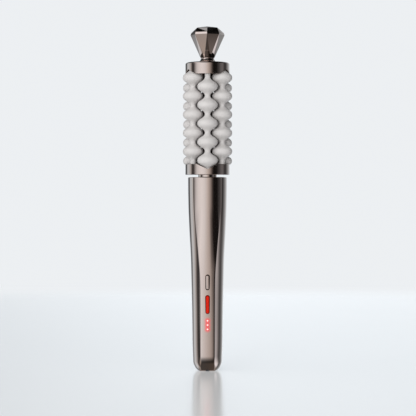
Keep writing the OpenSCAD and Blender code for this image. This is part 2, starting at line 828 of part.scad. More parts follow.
// Faceted knob: an eight-sided foot turned half a side against the girdle, a steep band
// and a crown that rises to four far corners and four near ones.
function octagon(r, z, turn) = [for (k = [0 : 7]) [r * cos(45 * k + turn), r * sin(45 * k + turn), z]];
module knob() {
    foot = octagon(knob_foot_r, collar_top, -22.5);
    girdle = octagon(girdle_r, girdle_z, 0);
    band = octagon(band_r, girdle_z + band_h, 0);
    crown = [for (k = [0 : 7])
        let (r = k % 2 == 0 ? side_r : corner_r, drop = k % 2 == 0 ? side_drop : corner_drop)
        [r * cos(45 * k), r * sin(45 * k), knob_top - drop]];
    points = concat(foot, girdle, band, crown, [[0, 0, collar_top], [0, 0, knob_top]]);
    faces = [for (k = [0 : 7])
        let (n = (k + 1) % 8)
        each [
            [32, k, n],
            [k, 8 + k, n],
            [n, 8 + k, 8 + n],
            [8 + k, 16 + k, 16 + n],
            [8 + k, 16 + n, 8 + n],
            k % 2 == 0 ? [16 + k, 24 + n, 16 + n] : [16 + k, 24 + k, 16 + n],
            k % 2 == 0 ? [16 + k, 24 + k, 24 + n] : [16 + n, 24 + k, 24 + n],
            [24 + k, 33, 24 + n]
        ]];
    color(plated) difference() {
        rotate(-knob_turn) polyhedron(points = points, faces = faces);
        rod(rod_r + fit_gap, collar_top - 1, collar_top + rod_grip);
    }
}

handle_shell();
base_cap();
charging_socket();
charging_board();
inner_frame();
battery();
cell_tabs();
circuit_board();
board_screws();
power_switch();
mode_switch();
indicator_leds();
light_pipes();
motor();
motor_leads();
gearbox();
motor_plate();
gearbox_screws();
top_collar();
collar_screws();
head_bush();
power_button();
power_plunger();
mode_button();
mode_plunger();
drive_shaft();
drive_hub();
hub_clip();
hub_screws();
bottom_ring();
core_tube();
tie_rod();
roller_axles();
roller_washers();
top_cap();
knob_collar();
knob();
roller(1);  // roller_1
roller(2);  // roller_2
roller(3);  // roller_3
roller(4);  // roller_4
roller(5);  // roller_5
roller(6);  // roller_6
liner(1);  // liner_1
liner(2);  // liner_2
liner(3);  // liner_3
liner(4);  // liner_4
liner(5);  // liner_5
liner(6);  // liner_6
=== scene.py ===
import math

import bmesh
import bpy
from mathutils import Matrix, Vector


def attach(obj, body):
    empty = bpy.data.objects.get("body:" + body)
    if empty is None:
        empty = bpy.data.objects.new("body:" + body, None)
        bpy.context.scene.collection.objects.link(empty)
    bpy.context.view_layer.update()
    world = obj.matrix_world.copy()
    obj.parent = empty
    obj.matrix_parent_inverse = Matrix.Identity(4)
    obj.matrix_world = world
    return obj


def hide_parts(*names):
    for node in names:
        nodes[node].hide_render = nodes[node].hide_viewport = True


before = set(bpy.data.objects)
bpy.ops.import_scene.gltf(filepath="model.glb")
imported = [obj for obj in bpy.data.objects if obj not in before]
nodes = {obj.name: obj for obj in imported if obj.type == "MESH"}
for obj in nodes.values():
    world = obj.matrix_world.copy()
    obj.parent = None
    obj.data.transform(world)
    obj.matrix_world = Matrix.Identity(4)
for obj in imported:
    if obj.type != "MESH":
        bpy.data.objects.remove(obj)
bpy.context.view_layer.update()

# Camera: level with the middle of the wand and a metre in front of it, on a long lens,
# so that the grip stands upright in the frame with hardly any perspective.
mm = 0.001
photo_width = 416
camera_data = bpy.data.cameras.new("studio_camera")
camera_data.sensor_width = 36
camera_data.lens = 138.46
camera_data.shift_y = -4.9 / photo_width
camera = bpy.data.objects.new("studio_camera", camera_data)
camera.location = (0.29 * mm, -1.024, 107 * mm)
camera.rotation_euler = (math.radians(90), 0, 0)
bpy.context.scene.collection.objects.link(camera)
bpy.context.scene.camera = camera
bpy.context.scene.view_settings.view_transform = "Standard"

# Grip shell: a moulded and plated tube whose front and back are flat panels between two
# creases. The panels widen and grow rounder as the grip swells towards the head.
grip_top = 123.5
foot_half_width, foot_half_depth = 9.2, 9.3
width_gain, depth_gain = 3.3, 3.2
foot_round_height = 6.0
foot_bend_height = 9.5
foot_round_width = 3.5
panel_half_width, widest_panel_share, flat_crown = 4.25, 0.76, 32
grip_wall, top_edge, collar_bore = 1.6, 0.4, 10.8
foot_floor, foot_bore, crease_round = 7.6, 5.25, 0.35
# Share of the height, share of the swelling, width of the panel, roundness of the panel.
stations = [
    (0.00, 0.000, 1.00, 0.00),
    (0.05, 0.030, 1.00, 0.00),
    (0.13, 0.130, 1.00, 0.00),
    (0.33, 0.232, 1.00, 0.04),
    (0.48, 0.350, 1.06, 0.12),
    (0.59, 0.464, 1.34, 0.26),
    (0.73, 0.745, 1.76, 0.52),
    (0.85, 0.930, 2.03, 0.69),
    (1.00, 1.000, 2.10, 0.73),
]


def station(share, column):
    last = len(stations) - 1
    i = next((k for k in range(last) if share <= stations[k + 1][0]), last - 1)

    def slope(k):
        if k in (0, last):
            return 0
        before, after = stations[k - 1], stations[k + 1]
        return (after[column] - before[column]) / (after[0] - before[0])

    span = stations[i + 1][0] - stations[i][0]
    t = (share - stations[i][0]) / span
    return (
        stations[i][column] * (1 + 2 * t) * (1 - t) ** 2
        + stations[i + 1][column] * t * t * (3 - 2 * t)
        + span * slope(i) * t * (1 - t) ** 2
        - span * slope(i + 1) * t * t * (1 - t)
    )


def foot_inset(z, height):
    if z >= height:
        return 0
    return foot_round_width * (1 - (1 - ((height - z) / height) ** 1.6) ** 0.625)


def half_width(z):
    return foot_half_width + width_gain * station(z / grip_top, 1) - foot_inset(z, foot_round_height)


def half_depth(z):
    return foot_half_depth + depth_gain * station(z / grip_top, 1) - foot_inset(z, foot_bend_height)


panel_cells = 10
side_cells = 22
quarter_cells = panel_cells + side_cells
foot_row, edge_row, bore_row, wall_row, floor_row = 20, 212, 216, 218, 241


def grip_outline(cell, z, inset=0.0):
    quarter, step = divmod(cell % (4 * quarter_cells), quarter_cells)
    if quarter % 2:
        step = quarter_cells - step
    a, d = half_width(z) - inset, half_depth(z) - inset
    share = z / grip_top
    w = min(panel_half_width * station(share, 2), widest_panel_share * a)
    crown = 1 / (station(share, 3) / d + (1 - station(share, 3)) / flat_crown)
    if step <= panel_cells:
        x = w * step / panel_cells
        y = d - crown + math.sqrt(crown * crown - x * x)
    else:
        corner_y = d - crown + math.sqrt(crown * crown - w * w)
        start = math.asin(w / a)
        t = start + (math.pi / 2 - start) * (step - panel_cells) / side_cells
        x, y = a * math.sin(t), corner_y / math.cos(start) * math.cos(t)
    return x * (1 if quarter < 2 else -1), y * (-1 if quarter in (0, 3) else 1)


def grip_row(row):
    """Height, inset from the outline, and bore radius where the row lies on the inside."""
    if row <= foot_row:
        return foot_bend_height * (1 - math.cos(math.pi / 2 * row / foot_row)), 0, None
    if row <= edge_row:
        share = (row - foot_row) / (edge_row - foot_row)
        return foot_bend_height + (grip_top - top_edge - foot_bend_height) * share, 0, None
    if row <= bore_row:
        t = math.pi / 2 * (row - edge_row) / (bore_row - edge_row)
        return grip_top - top_edge * (1 - math.sin(t)), top_edge * (1 - math.cos(t)), None
    if row <= wall_row:
        return grip_top, 0, collar_bore
    if row < floor_row:
        z = grip_top - (grip_top - foot_floor) * (row - wall_row) / (floor_row - 1 - wall_row)
        return z, 0, min(half_width(z), half_depth(z)) - grip_wall
    return (foot_floor if row == floor_row else 0), 0, foot_bore


bm = bmesh.new()
around, along = 4 * quarter_cells, floor_row + 2
bmesh.ops.create_grid(bm, x_segments=around, y_segments=along, size=1)
for v in bm.verts:
    cell = round((v.co.x + 1) / 2 * around)
    z, inset, bore = grip_row(round((v.co.y + 1) / 2 * along) % along)
    x, y = grip_outline(cell, z, inset)
    if bore:
        reach = bore / math.hypot(x, y)
        x, y = x * reach, y * reach
    v.co = (x * mm, y * mm, z * mm)
bmesh.ops.remove_doubles(bm, verts=bm.verts, dist=1e-7)
bmesh.ops.recalc_face_normals(bm, faces=bm.faces)
crease_columns = (panel_cells, -panel_cells, 2 * quarter_cells - panel_cells, 2 * quarter_cells + panel_cells)
creases = [
    e
    for e in bm.edges
    if all(v.co.z < (grip_top - 0.5) * mm for v in e.verts)
    and abs(e.verts[0].co.z - e.verts[1].co.z) > 1e-7
    and all(
        min((v.co.xy - Vector(grip_outline(k, v.co.z / mm)) * mm).length for k in crease_columns) < 1e-6
        for v in e.verts
    )
]
bmesh.ops.bevel(
    bm,
    geom=creases,
    offset=crease_round * mm,
    offset_type="OFFSET",
    segments=3,
    affect="EDGES",
    profile=0.5,
    material=-1,
)


def pill_stack(height, width, length, steps):
    """A closed prism with round ends in X and Z, through (depth, growth of its outline) steps."""
    bm = bmesh.new()
    bmesh.ops.create_circle(bm, cap_ends=False, segments=48, radius=width / 2)
    bmesh.ops.rotate(bm, verts=bm.verts, matrix=Matrix.Rotation(math.radians(3.75), 3, "Z"))
    bmesh.ops.rotate(bm, verts=bm.verts, matrix=Matrix.Rotation(math.pi / 2, 3, "X"))
    for v in bm.verts:
        v.co.z += math.copysign((length - width) / 2, v.co.z)
    ring = list(bm.verts)
    loop = list(bm.edges)
    for number, (depth, growth) in enumerate(steps):
        if number:
            made = bmesh.ops.extrude_edge_only(bm, edges=loop)["geom"]
            ring = [g for g in made if isinstance(g, bmesh.types.BMVert)]
            loop = [g for g in made if isinstance(g, bmesh.types.BMEdge) and all(v in ring for v in g.verts)]
        for v in ring:
            centre = Vector((0, 0, math.copysign((length - width) / 2, v.co.z)))
            outward = Vector((v.co.x, 0, v.co.z - centre.z)).normalized()
            v.co = centre + outward * (width / 2 + growth) + Vector((0, depth, 0))
    bmesh.ops.holes_fill(bm, edges=bm.edges, sides=0)
    bmesh.ops.scale(bm, verts=bm.verts, vec=(mm, mm, mm))
    bmesh.ops.translate(bm, verts=bm.verts, vec=(0, 0, height * mm))
    bmesh.ops.recalc_face_normals(bm, faces=bm.faces)
    return bm


def round_bar(radius, length, start, direction, segments=48):
    """A closed round bar from start, for pipes, pins and the holes cut for them."""
    bm = bmesh.new()
    bmesh.ops.create_cone(
        bm, cap_ends=True, segments=segments, radius1=radius * mm, radius2=radius * mm, depth=length * mm
    )
    bmesh.ops.translate(bm, verts=bm.verts, vec=(0, 0, length / 2 * mm))
    turn = Vector((0, 0, 1)).rotation_difference(Vector(direction)).to_matrix()
    bmesh.ops.rotate(bm, verts=bm.verts, matrix=turn)
    bmesh.ops.translate(bm, verts=bm.verts, vec=Vector(start) * mm)
    return bm


def as_object(bm, name):
    mesh = bpy.data.meshes.new(name)
    bm.to_mesh(mesh)
    bm.free()
    obj = bpy.data.objects.new(name, mesh)
    bpy.context.scene.collection.objects.link(obj)
    return obj


def settled(obj):
    """Makes the modifiers' result the object's own mesh."""
    mesh = bpy.data.meshes.new_from_object(obj.evaluated_get(bpy.context.evaluated_depsgraph_get()))
    obj.modifiers.clear()
    obj.data = mesh
    return obj


def cut(obj, cutters):
    for cutter in cutters:
        tool = as_object(cutter, "cutter")
        hole = obj.modifiers.new("hole", "BOOLEAN")
        hole.operation, hole.solver, hole.object = "DIFFERENCE", "EXACT", tool
        settled(obj)
        bpy.data.objects.remove(tool)
    return obj


def finished(obj, material, body, replaced=(), sharp=30):
    obj.data.materials.clear()
    obj.data.materials.append(material)
    for polygon in obj.data.polygons:
        polygon.use_smooth = True
    if sharp:
        obj.data.set_sharp_from_angle(angle=math.radians(sharp))
    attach(obj, body)
    if replaced:
        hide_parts(*replaced)
    return obj


def grain_group():
    """Fine mottling of colour and gloss, and the height of a faint grain, on Object coordinates."""
    group = bpy.data.node_groups.new("surface_grain", "ShaderNodeTree")
    sockets = (
        ("Place", "NodeSocketVector", (0, 0, 0)),
        ("Scale", "NodeSocketFloat", 900.0),
        ("Colour", "NodeSocketColor", (0.5, 0.5, 0.5, 1)),
        ("Mottle", "NodeSocketFloat", 0.05),
        ("Gloss", "NodeSocketFloat", 0.3),
        ("Gloss Spread", "NodeSocketFloat", 0.05),
    )
    for name, kind, value in sockets:
        group.interface.new_socket(name, in_out="INPUT", socket_type=kind).default_value = value
    for name, kind in (("Colour", "NodeSocketColor"), ("Roughness", "NodeSocketFloat"), ("Height", "NodeSocketFloat")):
        group.interface.new_socket(name, in_out="OUTPUT", socket_type=kind)
    new, link = group.nodes.new, group.links.new
    entry, exit_ = new("NodeGroupInput"), new("NodeGroupOutput")
    fine = new("ShaderNodeTexNoise")
    fine.inputs["Detail"].default_value = 4
    link(entry.outputs["Place"], fine.inputs["Vector"])
    link(entry.outputs["Scale"], fine.inputs["Scale"])
    broad_scale = new("ShaderNodeMath")
    broad_scale.operation = "MULTIPLY"
    broad_scale.inputs[1].default_value = 0.11
    link(entry.outputs["Scale"], broad_scale.inputs[0])
    broad = new("ShaderNodeTexNoise")
    broad.inputs["Detail"].default_value = 3
    link(entry.outputs["Place"], broad.inputs["Vector"])
    link(broad_scale.outputs[0], broad.inputs["Scale"])
    centred = new("ShaderNodeMath")
    centred.operation = "SUBTRACT"
    centred.inputs[1].default_value = 0.5
    link(broad.outputs["Fac"], centred.inputs[0])
    shade = new("ShaderNodeMath")
    shade.operation = "MULTIPLY_ADD"
    shade.inputs[2].default_value = 1.0
    link(centred.outputs[0], shade.inputs[0])
    link(entry.outputs["Mottle"], shade.inputs[1])
    tone = new("ShaderNodeVectorMath")
    tone.operation = "SCALE"
    link(entry.outputs["Colour"], tone.inputs[0])
    link(shade.outputs[0], tone.inputs["Scale"])
    rough = new("ShaderNodeMath")
    rough.operation = "MULTIPLY_ADD"
    link(centred.outputs[0], rough.inputs[0])
    link(entry.outputs["Gloss Spread"], rough.inputs[1])
    link(entry.outputs["Gloss"], rough.inputs[2])
    link(tone.outputs[0], exit_.inputs["Colour"])
    link(rough.outputs[0], exit_.inputs["Roughness"])
    link(fine.outputs["Fac"], exit_.inputs["Height"])
    return group


surface_grain = grain_group()


def grained(name, colour, gloss, metallic=0.0, scale=900, mottle=0.06, gloss_spread=0.08, relief=0.02, depth=0.02):
    """A Principled material whose colour and gloss vary a little and whose surface has a faint grain."""
    material = bpy.data.materials.new(name)
    material.use_nodes = True
    new, link = material.node_tree.nodes.new, material.node_tree.links.new
    shader = material.node_tree.nodes["Principled BSDF"]
    shader.inputs["Metallic"].default_value = metallic
    place = new("ShaderNodeTexCoord")
    grain = new("ShaderNodeGroup")
    grain.node_tree = surface_grain
    grain.inputs["Scale"].default_value = scale
    grain.inputs["Colour"].default_value = (*colour, 1)
    grain.inputs["Mottle"].default_value = mottle
    grain.inputs["Gloss"].default_value = gloss
    grain.inputs["Gloss Spread"].default_value = gloss_spread
    bump = new("ShaderNodeBump")
    bump.inputs["Strength"].default_value = relief
    bump.inputs["Distance"].default_value = depth * mm
    link(place.outputs["Object"], grain.inputs["Place"])
    link(grain.outputs["Colour"], shader.inputs["Base Color"])
    link(grain.outputs["Roughness"], shader.inputs["Roughness"])
    link(grain.outputs["Height"], bump.inputs["Height"])
    link(bump.outputs["Normal"], shader.inputs["Normal"])
    return material


plating = (0.66, 0.575, 0.53)


def plated(name):
    """The rose-coloured bright chrome that the grip and the head's turned pieces share."""
    return grained(name, plating, 0.07, 1.0, scale=500, mottle=0.05, gloss_spread=0.04, relief=0.01)


grip_plating = plated("grip_plating")
light_heights, light_face = (27.0, 29.7, 32.4), -9.75


def near_lights_group():
    """A mask that is 1 within the inner reach of any of the three lights and 0 beyond the outer."""
    group = bpy.data.node_groups.new("near_lights", "ShaderNodeTree")
    for name, kind in (("Place", "NodeSocketVector"), ("Inner", "NodeSocketFloat"), ("Outer", "NodeSocketFloat")):
        group.interface.new_socket(name, in_out="INPUT", socket_type=kind)
    group.interface.new_socket("Mask", in_out="OUTPUT", socket_type="NodeSocketFloat")
    new, link = group.nodes.new, group.links.new
    entry, exit_ = new("NodeGroupInput"), new("NodeGroupOutput")
    total = None
    for z in light_heights:
        away = new("ShaderNodeVectorMath")
        away.operation = "DISTANCE"
        away.inputs[1].default_value = (0, light_face * mm, z * mm)
        link(entry.outputs["Place"], away.inputs[0])
        near = new("ShaderNodeMapRange")
        near.interpolation_type = "SMOOTHSTEP"
        near.inputs["To Min"].default_value = 1
        near.inputs["To Max"].default_value = 0
        link(entry.outputs["Inner"], near.inputs["From Min"])
        link(entry.outputs["Outer"], near.inputs["From Max"])
        link(away.outputs["Value"], near.inputs["Value"])
        if total is None:
            total = near.outputs["Result"]
        else:
            joined = new("ShaderNodeMath")
            joined.operation = "ADD"
            joined.use_clamp = True
            link(total, joined.inputs[0])
            link(near.outputs["Result"], joined.inputs[1])
            total = joined.outputs[0]
    link(total, exit_.inputs["Mask"])
    return group


near_lights = near_lights_group()


def light_mask(material, inner, outer):
    tree = material.node_tree
    place = tree.nodes.new("ShaderNodeTexCoord")
    mask = tree.nodes.new("ShaderNodeGroup")
    mask.node_tree = near_lights
    mask.inputs["Inner"].default_value = inner * mm
    mask.inputs["Outer"].default_value = outer * mm
    tree.links.new(place.outputs["Object"], mask.inputs["Place"])
    return mask.outputs["Mask"]


def mixed(material, mask, first, second):
    """A colour that goes from first to second with the mask; either may be a socket."""
    tree = material.node_tree
    mix = tree.nodes.new("ShaderNodeMix")
    mix.data_type = "RGBA"
    tree.links.new(mask, mix.inputs["Factor"])
    for name, colour in (("A", first), ("B", second)):
        if isinstance(colour, tuple):
            mix.inputs[name].default_value = (*colour, 1)
        else:
            tree.links.new(colour, mix.inputs[name])
    return mix.outputs["Result"]


grip_shader = grip_plating.node_tree.nodes["Principled BSDF"]
# Painted light: a red glow round the three lights, painted on the plated panel as a red tint in the base colour and as
# red emission.
painted_glow = light_mask(grip_plating, 0.4, 2.8)
base = grip_shader.inputs["Base Color"].links[0].from_socket
grip_plating.node_tree.links.new(mixed(grip_plating, painted_glow, base, (0.6, 0.17, 0.17)), grip_shader.inputs["Base Color"])
grip_plating.node_tree.links.new(
    mixed(grip_plating, painted_glow, (0.0, 0.0, 0.0), (0.42, 0.06, 0.06)), grip_shader.inputs["Emission Color"]
)
grip_shader.inputs["Emission Strength"].default_value = 1.0
mode_height, mode_width, mode_length = 56.7, 2.1, 9.2
power_height, power_width, power_length = 42.6, 2.1, 11.2
button_gap, slot_edge, slot_edge_start, slot_margin = 0.3, 0.12, 0.02, 0.45
pipe_hole, nail_notch = 0.55, 1.2


def slot_cutter(height, width, length):
    """A button's slot with a narrow slanted edge where it meets the panel."""
    face = -half_depth(height) + slot_edge_start
    return pill_stack(
        height,
        width + 2 * button_gap,
        length + 2 * button_gap,
        [(-5, 0), (face + slot_edge, 0), (face, slot_edge), (face - 1.02, slot_edge + 1.02)],
    )


grip_shell = cut(
    as_object(bm, "grip_shell"),
    [slot_cutter(mode_height, mode_width, mode_length), slot_cutter(power_height, power_width, power_length)]
    + [round_bar(pipe_hole, 10, (0, -5, z), (0, -1, 0)) for z in light_heights]
    + [round_bar(nail_notch, 9.1, (0, -4.5, 0), (0, -1, 0), 64)],
)
finished(grip_shell, grip_plating, "handle", ["handle_shell"])
# Painted shade: a black material for the walls deep in the buttons' slots, where only shade falls.
painted_shade_black = grained("painted_shade_black", (0.018, 0.014, 0.013), 0.5, 0.0, scale=1500, mottle=0.2, relief=0.05)


def shade_in_slot(obj, height, width, length, start):
    """Paints what lies deeper than start in a button's slot black: painted shade for the dark recess."""
    if painted_shade_black.name not in obj.data.materials:
        obj.data.materials.append(painted_shade_black)
    for polygon in obj.data.polygons:
        x, y, z = polygon.center / mm
        in_slot = abs(x) < width / 2 + slot_margin and abs(z - height) < length / 2 + slot_margin
        if in_slot and start < y + half_depth(height) < 3:
            polygon.material_index = 1


# Painted shade: the slot walls below the panel's face are painted black.
shade_in_slot(grip_shell, mode_height, mode_width, mode_length, 0.2)
shade_in_slot(grip_shell, power_height, power_width, power_length, 0.2)

# Mode button: a plated pill that stands just proud of the panel, with a flange behind the
# wall that keeps it in and a short stem that pushes the switch's plunger.
body_plating = plated("body_plating")
stem_end, stem_half_width = -6.8, 1.1
flange_rim, flange_thick, flange_gap = 0.6, 0.8, 0.12


def flange_depth(height, width, length):
    """Where the flange's front lies, just clear of the grip's round bore."""
    low_end = height - length / 2
    bore = min(half_width(low_end), half_depth(low_end)) - grip_wall
    return -math.sqrt(bore**2 - (width / 2 + flange_rim) ** 2) + flange_gap


def button(name, height, width, length, proud, rounding):
    face, flange = -half_depth(height) - proud, flange_depth(height, width, length)
    edge = [
        (face + rounding * (1 - math.sin(t)), -rounding * (1 - math.cos(t)))
        for t in (math.pi / 2 * k / 6 for k in range(7))
    ]
    stem, flange_back = stem_half_width - width / 2, flange + flange_thick
    hidden = [(stem_end, stem), (flange_back, stem), (flange_back, flange_rim), (flange, flange_rim), (flange, 0)]
    return as_object(pill_stack(height, width, length, hidden + edge), name)


mode_proud, mode_dome = 0.2, 0.5
mode_pill = finished(
    button("mode_pill", mode_height, mode_width, mode_length, mode_proud, mode_dome),
    body_plating,
    "mode_button",
    ["mode_button"],
    40,
)
# Painted shade: the pill's sides and flange deep in the slot are painted black.
shade_in_slot(mode_pill, mode_height, mode_width + 2, mode_length + 2, 0.35)

# Power button: a glossy red moulded pill, longer than the mode button and domed across. It
# has the same flange and stem, and presses its own switch.
red_gloss = grained("red_gloss", (0.66, 0.016, 0.004), 0.25, 0.0, scale=700, mottle=0.12, relief=0.01)
red_gloss.node_tree.nodes["Principled BSDF"].inputs["Specular IOR Level"].default_value = 0.15
power_proud, power_dome = 0.55, 0.75
power_pill = finished(
    button("power_pill", power_height, power_width, power_length, power_proud, power_dome),
    red_gloss,
    "power_button",
    ["power_button"],
    50,
)
# Painted shade: the pill's sides and flange deep in the slot are painted black.
shade_in_slot(power_pill, power_height, power_width + 2, power_length + 2, 0.25)

# Indicator lights: three clear pipes, domed where they end in the panel, on one clear bar
# in front of the lights on the board.
lit_pipe = grained("lit_pipe", (1.0, 0.62, 0.6), 0.2, 0.0, scale=900, mottle=0.05, relief=0.01)
pipe_shader = lit_pipe.node_tree.nodes["Principled BSDF"]
hot = light_mask(lit_pipe, 0.1, 0.5)
lit_pipe.node_tree.links.new(
    mixed(lit_pipe, hot, (0.75, 0.12, 0.12), (1.0, 0.9, 0.88)), pipe_shader.inputs["Emission Color"]
)
pipe_shader.inputs["Emission Strength"].default_value = 1.0
pipe_radius, pipe_length, pipe_sunk = 0.5, 4.0, 0.1
bar_width, bar_depth, bar_height, bar_place = 3, 0.9, 8.0, -7.3
pipes = bmesh.new()
pipe_face = -half_depth(light_heights[1])
for z in light_heights:
    pipe = bmesh.new()
    bmesh.ops.create_uvsphere(pipe, u_segments=32, v_segments=16, radius=pipe_radius * mm)
    for v in pipe.verts:
        v.co.z = v.co.z / 4 if v.co.z > 0 else -pipe_length * mm
    bmesh.ops.remove_doubles(pipe, verts=pipe.verts, dist=1e-7)
    bmesh.ops.rotate(pipe, verts=pipe.verts, matrix=Matrix.Rotation(math.pi / 2, 3, "X"))
    bmesh.ops.translate(pipe, verts=pipe.verts, vec=(0, (pipe_face + pipe_sunk) * mm, z * mm))
    part = bpy.data.meshes.new("pipe")
    pipe.to_mesh(part)
    pipe.free()
    pipes.from_mesh(part)
    bpy.data.meshes.remove(part)
bar = bmesh.ops.create_cube(pipes, size=1)["verts"]
bmesh.ops.scale(pipes, verts=bar, vec=(bar_width * mm, bar_depth * mm, bar_height * mm))
bmesh.ops.translate(pipes, verts=bar, vec=(0, bar_place * mm, light_heights[1] * mm))
finished(as_object(pipes, "light_comb"), lit_pipe, "handle", ["light_pipes"])


# Neck: the turned and plated hub that shows in the gap between grip and head. Its journal
# runs in the bush below, and the ring is screwed to its wider top.
def turned(name, outline, centre=(0, 0), steps=144):
    """A closed outline of (radius, height) points spun about an upright axis."""
    bm = bmesh.new()
    verts = [bm.verts.new(((centre[0] + r) * mm, centre[1] * mm, z * mm)) for r, z in outline]
    edges = [bm.edges.new((a, b)) for a, b in zip(verts, verts[1:] + verts[:1])]
    bmesh.ops.spin(
        bm,
        geom=verts + edges,
        cent=(centre[0] * mm, centre[1] * mm, 0),
        axis=(0, 0, 1),
        angle=2 * math.pi,
        steps=steps,
        use_merge=True,
    )
    bmesh.ops.remove_doubles(bm, verts=bm.verts, dist=1e-7)
    bmesh.ops.recalc_face_normals(bm, faces=bm.faces)
    return as_object(bm, name)


journal_end, journal, neck, neck_step = 110.0, 5.4, 5.95, 123.55
shaft_bore, rod_bore, rod_bore_end, ring_floor_z = 2.05, 1.65, 119.0, 124.9
finished(
    turned(
        "neck_hub",
        [(shaft_bore, journal_end), (journal - 0.25, journal_end), (journal, journal_end + 0.25)]
        + [(journal, neck_step), (neck - 0.2, neck_step), (neck, neck_step + 0.2), (neck, ring_floor_z)]
        + [(rod_bore, ring_floor_z), (rod_bore, rod_bore_end), (shaft_bore, rod_bore_end - 0.2)],
    ),
    body_plating,
    "head",
    ["drive_hub"],
)

# Bottom ring: a turned and plated cup that carries the axle pins in its floor. Three V
# notches with rounded points are cut in its rim for the ends of the low rollers.
rim, rim_wall, ring_top, cage_floor = 14.2, 0.9, 131.8, 126.7
vee_half, vee_deep, vee_tip, vee_above, vee_inner, vee_through = 6.9, 3.3, 0.8, 0.22, 10.9, 5


def vee_cutter(angle, edge_z, up):
    """A prism through the rim, V-shaped with a rounded point, from the rim's open edge."""
    flank = math.atan2(vee_deep, vee_half)
    tip = vee_deep - vee_tip / math.cos(flank)
    wide = vee_half * (1 + vee_above / vee_deep)
    points = [(-wide, -vee_above - 1), (-wide, -vee_above)]
    points += [
        (vee_tip * math.sin(t), tip + vee_tip * math.cos(t)) for t in (flank * (k / 4 - 1) for k in range(9))
    ]
    points += [(wide, -vee_above), (wide, -vee_above - 1)]
    bm = bmesh.new()
    face = bm.faces.new([bm.verts.new((vee_inner * mm, x * mm, (edge_z + up * y) * mm)) for x, y in points])
    made = bmesh.ops.extrude_face_region(bm, geom=[face], use_keep_orig=True)["geom"]
    bmesh.ops.translate(bm, verts=[g for g in made if isinstance(g, bmesh.types.BMVert)], vec=(vee_through * mm, 0, 0))
    bmesh.ops.rotate(bm, verts=bm.verts, matrix=Matrix.Rotation(angle, 3, "Z"))
    bmesh.ops.recalc_face_normals(bm, faces=bm.faces)
    return bm


def softened(obj, width, segments=2, angle=30):
    """Rounds the sharp edges and keeps the shading of the wide faces even right up to them."""
    for polygon in obj.data.polygons:
        polygon.use_smooth = True
    bevel = obj.modifiers.new("edge", "BEVEL")
    bevel.width, bevel.segments, bevel.limit_method = width * mm, segments, "ANGLE"
    bevel.angle_limit = math.radians(angle)
    bevel.use_clamp_overlap = True
    even = obj.modifiers.new("even", "WEIGHTED_NORMAL")
    even.weight = 100
    return settled(obj)


edge_round = 0.12
bottom_ring = turned(
    "bottom_ring_cup",
    [(rod_bore, ring_floor_z), (rim - 0.25, ring_floor_z), (rim, ring_floor_z + 0.25), (rim, ring_top)]
    + [(rim - rim_wall, ring_top), (rim - rim_wall, cage_floor), (rod_bore, cage_floor)],
    steps=192,
)
cut(bottom_ring, [vee_cutter(math.radians(-90 + 120 * k), ring_top, -1) for k in range(3)])
finished(softened(bottom_ring, edge_round), body_plating, "head", ["bottom_ring"], None)

# Top cap: the same turned and plated cup upside down, with a rounded top edge. Its three
# notches stand half way between the ring's and take the ends of the high rollers.
cap_z, cap_top, cap_round, cage_ceiling = 188.9, 196.7, 1.1, 194.1
top_cap = turned(
    "top_cap_cup",
    [(rod_bore, cage_ceiling), (rim - rim_wall, cage_ceiling), (rim - rim_wall, cap_z), (rim, cap_z)]
    + [
        (rim - cap_round * (1 - math.cos(t)), cap_top - cap_round * (1 - math.sin(t)))
        for t in (math.pi / 2 * k / 8 for k in range(9))
    ]
    + [(rod_bore, cap_top)],
    steps=192,
)
cut(top_cap, [vee_cutter(math.radians(-30 + 120 * k), cap_z, 1) for k in range(3)])
finished(softened(top_cap, edge_round), body_plating, "head", ["top_cap"], None)

# Core tube: a dark drawn tube round the tie rod, clamped between the ring and the cap. It
# is seen only as dark lines between the rollers; its very dark brown is partly its own colour
# and partly painted shade for those gaps.
core_bore, core_radius = 1.8, 3.4
# Partly painted shade: the tube's colour is as dark as the shaded gaps between the rollers.
core_dark_painted_shade = grained("core_dark_painted_shade", (0.045, 0.03, 0.026), 0.35, 0.6, scale=600, mottle=0.2, relief=0.03)
finished(
    turned(
        "core_sleeve",
        [(core_bore, cage_floor), (core_radius, cage_floor), (core_radius, cage_ceiling), (core_bore, cage_ceiling)],
        steps=96,
    ),
    core_dark_painted_shade,
    "head",
    ["core_tube"],
)

# Rollers: six silicone sleeves with five bulges each, moulded over a liner tube. Low and
# high ones take turns round the cage so that each bulge stands in its neighbours' necks.
silicone = grained(
    "silicone", (0.655, 0.63, 0.617), 0.5, 0.0, scale=2600, mottle=0.03, gloss_spread=0.1, relief=0.06, depth=0.03
)
silicone_shader = silicone.node_tree.nodes["Principled BSDF"]
silicone_shader.inputs["Specular IOR Level"].default_value = 0.35
bulges, wave_steps, axle_circle, liner_radius, end_radius, end_gap = 5, 28, 10.7, 1.27, 1.75, 0.6
wave_mean, wave_swing, wave_flat, wave_point = 4.248, 2.47, 0.15, 0.12
bulge_pitch = (cage_ceiling - cage_floor) / (bulges + 0.75)
middle = (cage_floor + cage_ceiling) / 2


def wave(turn):
    """Radius of a roller, widest at turn 0; the small waves make its crests flatter than its necks."""
    small = wave_flat * math.cos(2 * turn) + wave_point * math.cos(3 * turn)
    return wave_mean + wave_swing * math.cos(turn) - small


roller_profile = [(liner_radius, cage_floor + end_gap), (end_radius, cage_floor + end_gap)]
for k in range(bulges * wave_steps + 1):
    share = k / wave_steps
    roller_profile.append((wave(math.pi * (2 * share - 1)), middle + bulge_pitch * (share - bulges / 2 - 0.25)))
roller_profile += [(end_radius, cage_ceiling - end_gap), (liner_radius, cage_ceiling - end_gap)]
for number in range(1, 7):
    angle = math.radians(60 * number - 150)
    is_low = number % 2 == 1
    profile = roller_profile if is_low else [(r, 2 * middle - z) for r, z in reversed(roller_profile)]
    axle = (axle_circle * math.cos(angle), axle_circle * math.sin(angle))
    finished(
        turned(f"wave_roller_{number}", profile, axle, steps=64),
        silicone,
        f"roller_{number}",
        [f"roller_{number}"],
        60,
    )

